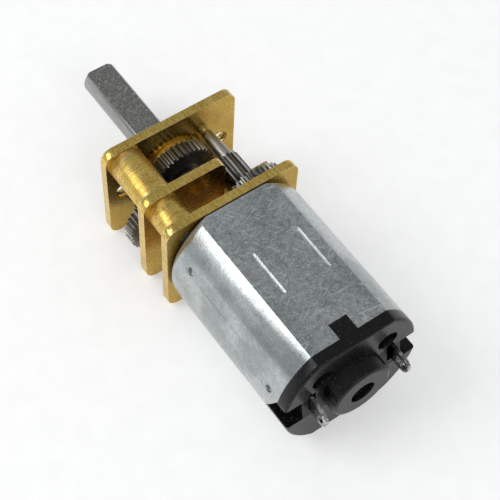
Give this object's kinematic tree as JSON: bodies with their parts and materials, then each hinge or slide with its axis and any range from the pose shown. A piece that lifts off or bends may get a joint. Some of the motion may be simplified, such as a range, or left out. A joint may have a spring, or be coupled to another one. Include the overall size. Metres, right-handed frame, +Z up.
{
  "type": "gearmotor",
  "caption": "Miniature brush gearmotor with an open spur gearbox between brass plates, a flat-sided steel motor can, a D output shaft and two rear solder terminals.",
  "frame": {"origin": "centre of the front plate's front face, on the output shaft's axis", "axes": "+X along the output shaft, out of the gearbox; +Z up, square to the motor's flats; +Y to the side, along the line of the two mounting holes"},
  "size_m": [0.0363, 0.012, 0.01],
  "materials": {
    "brass": "machined and stamped brass, slightly tarnished",
    "screw_steel": "slotted steel screw",
    "ground_steel": "ground steel with fine grain",
    "gear_steel": "oiled dark steel, bright on the cut teeth",
    "plated_steel": "bright zinc plating with a fine spangle",
    "black_plastic": "moulded black nylon, fine texture",
    "copper": "enamelled copper and copper strip",
    "magnet": "sintered magnet, grey",
    "laminated_steel": "stack of steel laminations",
    "sintered_bronze": "oil-filled sintered bronze",
    "tinned_terminal": "bright tin plating on brass",
    "washer_plastic": "natural nylon"
  },
  "bodies": {
    "housing": {"front_plate": "brass", "middle_plate": "brass", "rear_plate": "brass", "front_post_upper": "brass", "front_post_lower": "brass", "rear_post_upper": "brass", "rear_post_lower": "brass", "gearbox_screws": "screw_steel", "motor_screws": "screw_steel", "output_bushing": "brass", "arbor_upper": "ground_steel", "arbor_lower": "ground_steel", "motor_can": "plated_steel", "front_bearing": "sintered_bronze", "magnet_left": "magnet", "magnet_right": "magnet", "end_cap": "black_plastic", "rear_bearing": "sintered_bronze", "brush_left": "copper", "brush_right": "copper", "terminal_left": "tinned_terminal", "terminal_right": "tinned_terminal"},
    "rotor": {"motor_pinion": "brass", "rotor_shaft": "ground_steel", "rotor_core": "laminated_steel", "rotor_coils": "copper", "commutator_hub": "black_plastic", "commutator_bars": "copper", "thrust_washers": "washer_plastic"},
    "first_gear": {"first_wheel": "gear_steel", "first_pinion": "gear_steel"},
    "second_gear": {"second_wheel": "gear_steel", "second_pinion": "gear_steel"},
    "third_gear": {"third_wheel": "gear_steel", "third_pinion": "gear_steel"},
    "output": {"output_shaft": "ground_steel", "output_gear": "gear_steel"}
  },
  "joints": [
    {"name": "rotor_spin", "type": "hinge", "parent": "housing", "child": "rotor", "pos_m": [0, 0, 0], "axis": [1, 0, 0], "continuous": true},
    {"name": "first_gear_spin", "type": "hinge", "parent": "housing", "child": "first_gear", "pos_m": [0, -0.00307, 0.0021], "axis": [1, 0, 0], "continuous": true},
    {"name": "second_gear_spin", "type": "hinge", "parent": "housing", "child": "second_gear", "pos_m": [0, 0, 0], "axis": [1, 0, 0], "continuous": true},
    {"name": "third_gear_spin", "type": "hinge", "parent": "housing", "child": "third_gear", "pos_m": [0, 0.00307, -0.0021], "axis": [1, 0, 0], "continuous": true},
    {"name": "output_spin", "type": "hinge", "parent": "housing", "child": "output", "pos_m": [0, 0, 0], "axis": [1, 0, 0], "continuous": true}
  ],
  "couplings": [
    {"joint": "first_gear_spin", "follows": "rotor_spin", "ratio": -0.5},
    {"joint": "second_gear_spin", "follows": "rotor_spin", "ratio": 0.11538},
    {"joint": "third_gear_spin", "follows": "rotor_spin", "ratio": -0.042857},
    {"joint": "output_spin", "follows": "rotor_spin", "ratio": 0.011278}
  ]
}
